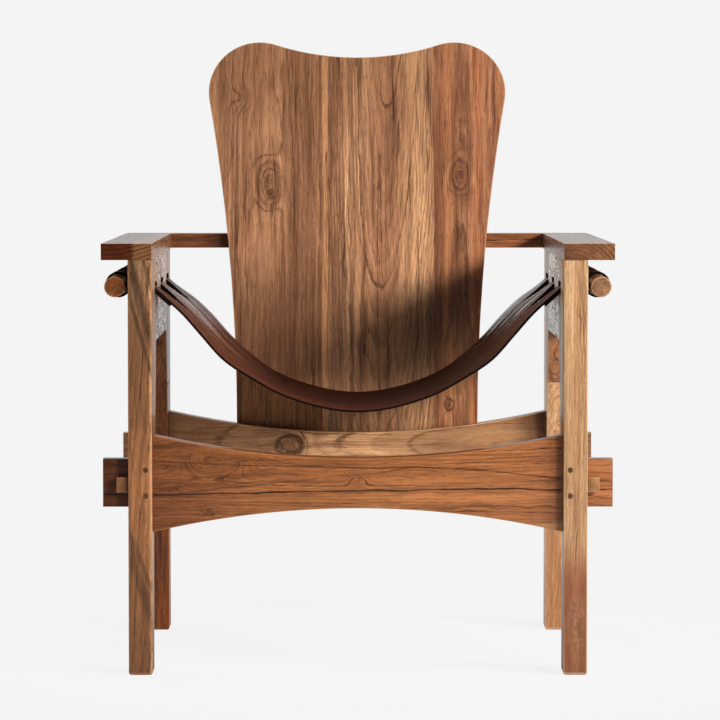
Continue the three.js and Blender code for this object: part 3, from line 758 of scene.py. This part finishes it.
# Dowels, tongues and splines: pins and strips of pale teak, planed to fit. They are
# glued into the joints and don't show.
inner_wood = teak(
    "teak_inner", "ZXY", rgb(214, 172, 126), rgb(182, 138, 96), rgb(130, 88, 56),
    pith=(0.0, 0.4), ring=0.004, seed=13, wave=0.008,
)
for name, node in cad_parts.items():
    if "dowel" in name or "tongue" in name or "spline" in name:
        node.data.materials.clear()
        node.data.materials.append(inner_wood)

# Rods: a round teak bar outside each side panel, turned from brown wood. It isn't
# fixed: the leather's loops hang on it, and their pull keeps it by the panel.
ROD_EASE = 0.0018
rod_wood = {
    "left": teak(
        "teak_rod_left", "YXZ", rgb(187, 109, 57), rgb(126, 71, 36), rgb(40, 20, 10),
        pith=(-0.331, 0.528), ring=0.0040, seed=16, wave=0.008,
    ),
    "right": teak(
        "teak_rod_right", "YXZ", rgb(160, 117, 82), rgb(110, 77, 53), rgb(42, 27, 20),
        pith=(0.346, 0.530), ring=0.0044, seed=20, wave=0.010,
    ),
}
for side, wood in rod_wood.items():
    worked(f"sling_rod_{side}", f"rod_{side}", wood, ease=ROD_EASE)

# Leather seat: one thick hide, cut to a point between the straps. Each strap goes
# out through its slot, round the rod and back, and is sewn down under the seat.
# LAYER is from the middle of one layer of hide to the middle of the next.
HIDE = 0.0031
LAYER = HIDE * 1.06
SEAT_FRONT = span("leather_sling", "Y")[0]
SEAT_DEPTH = 0.411
SEAT_LOW = 0.361
HEIGHT_AT_SLOT = 0.53375
HEIGHT_AT_ROD = 0.53975

# The three straps, the two notches between them, and the loops round the rods
STRAP_WIDTH = 0.065
STRAP_STEP = (SEAT_DEPTH - STRAP_WIDTH) / 2
STRAP_FRONTS = [SEAT_FRONT + i * STRAP_STEP for i in range(3)]
NOTCHES = [front + (STRAP_WIDTH + STRAP_STEP) / 2 for front in STRAP_FRONTS[:2]]
NOTCH_TIP = SEAT_FACE - 0.0405
NOTCH_ROUND = 0.85
ROD_X = sum(span("sling_rod_right", "X")) / 2
ROD_Z = sum(span("sling_rod_right", "Z")) / 2
LOOP_RADIUS = 0.01665
LOOP_OPENS = math.radians(145)
RETURN_END = SEAT_FACE - 0.024

# The hide's rear edge stands a little higher on its way up, and the hide puckers by the notches
REAR_LIFT = 0.012
LIFT_FROM = 0.45
PUCKER_HEIGHT = 0.0011
PUCKER_AT = 0.205
PUCKER_LENGTH = 0.045
PUCKER_WIDTH = 0.030
PUCKER_WAVE = 0.0026

# The hang of the hide from its middle out to the slot: share of the way, share of the rise
SEAT_SAG = [(0, 0), (0.35, 0.12), (0.53, 0.277), (0.67, 0.435), (0.77, 0.62), (0.86, 0.79),
            (0.93, 0.898), (1, 1)]


def hanging(share):
    """How far the hide has risen at a share of the way out to the slot, from 0 to 1."""
    slopes = [(b[1] - a[1]) / (b[0] - a[0]) for a, b in zip(SEAT_SAG, SEAT_SAG[1:])]
    tangents = [0] + [(p + q) / 2 for p, q in zip(slopes, slopes[1:])] + [slopes[-1]]
    for i, (start, end) in enumerate(zip(SEAT_SAG, SEAT_SAG[1:])):
        if share <= end[0] or end == SEAT_SAG[-1]:
            reach = end[0] - start[0]
            t = (share - start[0]) / reach
            return ((2 * t ** 3 - 3 * t * t + 1) * start[1]
                    + (t ** 3 - 2 * t * t + t) * reach * tangents[i]
                    + (3 * t * t - 2 * t ** 3) * end[1]
                    + (t ** 3 - t * t) * reach * tangents[i + 1])


def within(share):
    """A share, kept from 0 to 1."""
    return min(max(share, 0), 1)


def seat_height(x, y):
    """The hide's height: its hang, its lifted rear edge, and the puckers where the
    straps pull at the notches between them."""
    share = min(abs(x) / SEAT_FACE, 1)
    height = SEAT_LOW + hanging(share) * (HEIGHT_AT_SLOT - SEAT_LOW)
    rearwards = within((y - SEAT_FRONT) / SEAT_DEPTH)
    lift = REAR_LIFT * rearwards * rearwards * (3 - 2 * rearwards)
    height += lift * math.sin(math.pi * within((share - LIFT_FROM) / (1 - LIFT_FROM))) ** 2
    pull = math.exp(-((abs(x) - PUCKER_AT) / PUCKER_LENGTH) ** 2)
    for notch in NOTCHES:
        off = y - notch
        nearness = math.exp(-(off / PUCKER_WIDTH) ** 2)
        height += PUCKER_HEIGHT * pull * nearness * math.cos(off / PUCKER_WAVE)
    return height


def strap_edges(x, strap):
    """The front and rear edge of a strap's share of the hide at x."""
    front = STRAP_FRONTS[strap]
    opened = within((abs(x) - NOTCH_TIP) / (SEAT_FACE - NOTCH_TIP))
    joined = (STRAP_STEP - STRAP_WIDTH) / 2 * (1 - opened ** NOTCH_ROUND)
    return front - (joined if strap > 0 else 0), front + STRAP_WIDTH + (joined if strap < 2 else 0)


def curve(start, leave, arrive, end, steps):
    """Points of a bend between two places, without its ends. It sets out towards leave
    and comes in from arrive."""
    points = []
    for i in range(1, steps):
        t = i / steps
        shares = ((1 - t) ** 3, 3 * t * (1 - t) ** 2, 3 * t * t * (1 - t), t ** 3)
        points.append(tuple(sum(s * p[k] for s, p in zip(shares, (start, leave, arrive, end)))
                            for k in (0, 1)))
    return points


SEAT_STEPS = 72
SLOT_STEPS = 6
BEND_STEPS = 6
LOOP_STEPS = 34
RETURN_STEPS = 8


def in_slot(share):
    """A place in the slot, from the seat's side to the rod's."""
    x = SEAT_FACE + (LEG_FACE - SEAT_FACE) * share
    return x, HEIGHT_AT_SLOT + (HEIGHT_AT_ROD - HEIGHT_AT_SLOT) * share


def hide_run():
    """The run of the hide from the middle outwards: x, height, and how many layers down
    it lies. On the seat the height is None, because it changes from front to rear."""
    run = [(SEAT_FACE * i / SEAT_STEPS, None, 0) for i in range(SEAT_STEPS + 1)]
    run += [(*in_slot(i / SLOT_STEPS), 0) for i in range(1, SLOT_STEPS + 1)]
    loop = []
    for i in range(LOOP_STEPS + 1):
        angle = LOOP_OPENS * (1 - 2 * i / LOOP_STEPS)
        loop.append((ROD_X + LOOP_RADIUS * math.cos(angle), ROD_Z + LOOP_RADIUS * math.sin(angle)))
    neck = in_slot(1)
    under = (neck[0], neck[1] - LAYER)
    first, last = loop[0], loop[-1]
    opening = curve(neck, (neck[0] + 0.0030, neck[1] + 0.0005),
                    (first[0] - 0.0020, first[1] - 0.0030), first, BEND_STEPS)
    closing = curve(last, (last[0] - 0.0020, last[1] + 0.0025),
                    (under[0] + 0.0030, under[1] - 0.0004), under, BEND_STEPS)
    run += [(x, z, 0) for x, z in opening + loop + closing]
    for i in range(SLOT_STEPS + 1):
        x, z = in_slot(1 - i / SLOT_STEPS)
        run.append((x, z - LAYER, 0))
    for i in range(1, RETURN_STEPS + 1):
        run.append((SEAT_FACE + (RETURN_END - SEAT_FACE) * i / RETURN_STEPS, None, 1))
    return run


ROWS = 16
CLIMB_STEP = 0.002


def hide_row(x, z, down, side):
    """One line of points across the hide, from its front edge to its rear edge."""
    line = []
    for strap in range(3):
        front, rear = strap_edges(x, strap)
        for i in range(ROWS + 1):
            y = front + (rear - front) * i / ROWS
            level = z
            out = 0
            if level is None:
                level = seat_height(x, y)
                if down:
                    rise = seat_height(x + CLIMB_STEP, y) - seat_height(x - CLIMB_STEP, y)
                    climb = rise / (2 * CLIMB_STEP)
                    length = math.hypot(climb, 1)
                    level -= LAYER / length
                    out = climb * LAYER / length
            line.append((side * (x + out), y, level))
    return line


run = hide_run()
lines = [hide_row(*place, -1) for place in reversed(run[1:])]
lines += [hide_row(*place, 1) for place in run]
width = 3 * (ROWS + 1)
faces = []
for i in range(len(lines) - 1):
    for strap in range(3):
        for j in range(ROWS):
            corner = i * width + strap * (ROWS + 1) + j
            faces.append((corner, corner + width, corner + width + 1, corner + 1))
hide_mesh = bpy.data.meshes.new("leather_seat")
hide_mesh.from_pydata([point for line in lines for point in line], [], faces)
seat = bpy.data.objects.new("leather_seat", hide_mesh)
bpy.context.scene.collection.objects.link(seat)
only(seat)
bpy.ops.object.mode_set(mode="EDIT")
bpy.ops.mesh.select_all(action="SELECT")
bpy.ops.mesh.remove_doubles(threshold=WELD / 2)
bpy.ops.object.mode_set(mode="OBJECT")

leather = Finish("saddle_leather")
where = leather.place()
spots = leather.split(where)
blotch = leather.noise(where, scale=9, detail=3)


def along_run(crosswise, detail):
    """A noise drawn out along the hide's run, across the straps' width."""
    point = leather.vector(spots["X"] * 7, spots["Y"] * crosswise, spots["Z"] * 7)
    return leather.noise(point, detail=detail, rough=0.6)


creases_and_sheen = along_run(34, 2)
scratches_and_sheen = along_run(120, 3)
skin = leather.noise(where, scale=850, detail=3, rough=0.6)
mottle = leather.noise(where, scale=70, detail=3)
front_glow = (spots["Y"] - SEAT_FRONT).fall(0.0, 0.16)
pulled = abs(spots["X"]).rise(0.10, 0.22) * (1 - abs(spots["X"]).rise(0.27, 0.31) * 0.9)
rearwards = (spots["Y"] - SEAT_FRONT).rise(0.04, 0.22)
pulled = pulled * (rearwards * 0.65 + 0.35)
hue = leather.blend(blotch.rise(0.35, 0.7), rgb(41, 13, 6), rgb(55, 18, 8))
hue = leather.blend(front_glow * 0.55, hue, rgb(86, 31, 13))
hue = leather.blend(mottle.rise(0.5, 0.75) * 0.35, hue, rgb(20, 8, 5))
# Painted sheen: pale streaks and creases on the pulled sides, where the hide catches the light
sheen_streaks = scratches_and_sheen.rise(0.47, 0.60)
hue = leather.blend(sheen_streaks * (pulled * 0.44 + 0.03), hue, rgb(158, 110, 88))
hue = leather.blend(creases_and_sheen.rise(0.54, 0.66) * pulled * 0.22, hue, rgb(140, 90, 70))
hue = leather.blend(scratches_and_sheen.fall(0.34, 0.44) * (pulled * 0.7 + 0.15), hue, rgb(16, 7, 5))
leather.feed(
    Base_Color=hue,
    Roughness=0.58 + mottle * 0.12 - pulled * (sheen_streaks * 0.28 + 0.20),
    Specular_IOR_Level=0.16,
    Specular_Tint=(1.0, 0.45, 0.22, 1.0),
    Normal=leather.bump(skin * 0.08 + (creases_and_sheen * 2.4 + scratches_and_sheen) * pulled, 0.0008, 0.7),
)
burnish = Finish("burnished_edge")
wax = burnish.noise(burnish.place(), scale=300, detail=2)
burnish.feed(Base_Color=burnish.blend(wax, rgb(10, 6, 5), rgb(22, 14, 11)), Roughness=0.75,
             Specular_IOR_Level=0.12)
seat.data.materials.append(leather.material)
seat.data.materials.append(burnish.material)
EDGE_ROUND = 0.0007
thick = seat.modifiers.new("thick", "SOLIDIFY")
thick.thickness = HIDE
thick.offset = 0
thick.use_even_offset = True
thick.material_offset_rim = 1
bpy.ops.object.modifier_apply(modifier=thick.name)
rounded = seat.modifiers.new("rounded", "BEVEL")
rounded.width = EDGE_ROUND
rounded.segments = 2
rounded.limit_method = "ANGLE"
rounded.angle_limit = math.radians(60)
rounded.material = 1
rounded.use_clamp_overlap = False
bpy.ops.object.modifier_apply(modifier=rounded.name)
bpy.ops.object.shade_smooth_by_angle(angle=math.radians(40))
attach(seat, "frame")
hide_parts("leather_sling")

# Studio: a sheet of white paper runs out under the chair, in a white room. Softboxes
# light the chair from the right, the front, the rear and the left, and the oiled wood
# mirrors the paper and the room instead of them.
BACKDROP = 0.905
AMBIENT = 0.13
FRONT_ROOM = 0.22


def rays(finish):
    """Whether a ray comes straight from the eye, and whether it was mirrored or bent."""
    path = finish.tree.nodes.new("ShaderNodeLightPath")
    seen = Tone(finish, path.outputs["Is Camera Ray"])
    mirrored = Tone(finish, path.outputs["Is Glossy Ray"])
    return seen, mirrored.most(Tone(finish, path.outputs["Is Transmission Ray"]))


bpy.ops.mesh.primitive_plane_add(size=24, location=(0, 4, 0))
floor = bpy.context.object
floor.name = "studio_floor"
paper = Finish("studio_paper")
spot = paper.split(paper.node("ShaderNodeNewGeometry", output="Position"))
from_chair = (spot["X"] * spot["X"] + spot["Y"] * spot["Y"]).root()
seen, mirrored = rays(paper)
in_front = FRONT_ROOM / BACKDROP
reflected = in_front + spot["Y"].rise(-1.0, 1.5) * (1 - in_front)
glow = paper.node("ShaderNodeEmission", output="Emission", values={
    "Color": (1, 1, 1, 1),
    "Strength": (seen + mirrored * reflected) * BACKDROP,
})
shadowed = paper.node("ShaderNodeBsdfDiffuse", output="BSDF", values={"Color": rgb(238, 238, 238)})
flat_white = seen * (0.93 + from_chair.rise(0.30, 0.9) * 0.07) + mirrored
mixed = paper.node("ShaderNodeMixShader", output="Shader", values={
    0: flat_white,
    1: shadowed,
    2: glow,
})
paper.tree.links.new(mixed.socket, paper.tree.nodes["Material Output"].inputs["Surface"])
floor.data.materials.append(paper.material)

world = bpy.data.worlds.new("surround")
bpy.context.scene.world = world
world.use_nodes = True


class Surround(Finish):
    """The air round the chair, put together as a finish is."""

    def __init__(self, world):
        self.tree = world.node_tree
        self.shader = self.tree.nodes["Background"]


air = Surround(world)
seen, mirrored = rays(air)
towards_back = air.split(air.node("ShaderNodeTexCoord", output="Generated"))["Y"]
reflected = FRONT_ROOM + towards_back.rise(-0.25, 0.35) * (BACKDROP - FRONT_ROOM)
plain = (1 - seen) * (1 - mirrored)
air.feed(
    Color=(1, 1, 1, 1),
    Strength=seen * BACKDROP + (1 - seen) * mirrored * reflected + plain * AMBIENT,
)


def softbox(name, energy, size, place, aim):
    """A lamp behind a cloth, which lights the chair and isn't mirrored in it."""
    lamp = bpy.data.lights.new(name, "AREA")
    lamp.shape = "RECTANGLE"
    lamp.size, lamp.size_y = size
    lamp.energy = energy
    box = bpy.data.objects.new(name, lamp)
    box.location = place
    box.rotation_euler = (Vector(place) - Vector(aim)).to_track_quat("Z", "Y").to_euler()
    box.visible_glossy = False
    bpy.context.scene.collection.objects.link(box)


softbox("side_softbox", energy=100, size=(1.4, 0.34), place=(1.90, -1.50, 1.30),
        aim=(0.90, -1.50, 0.88))
softbox("front_softbox", energy=62, size=(0.6, 0.4), place=(1.45, -2.60, 1.10),
        aim=(0, 0.1, 0.45))
softbox("rear_softbox", energy=55, size=(1.4, 1.0), place=(-1.60, 2.60, 1.50),
        aim=(0, 0.2, 0.45))
softbox("left_softbox", energy=30, size=(1.0, 0.8), place=(-2.40, 0.70, 1.10),
        aim=(0, 0, 0.45))
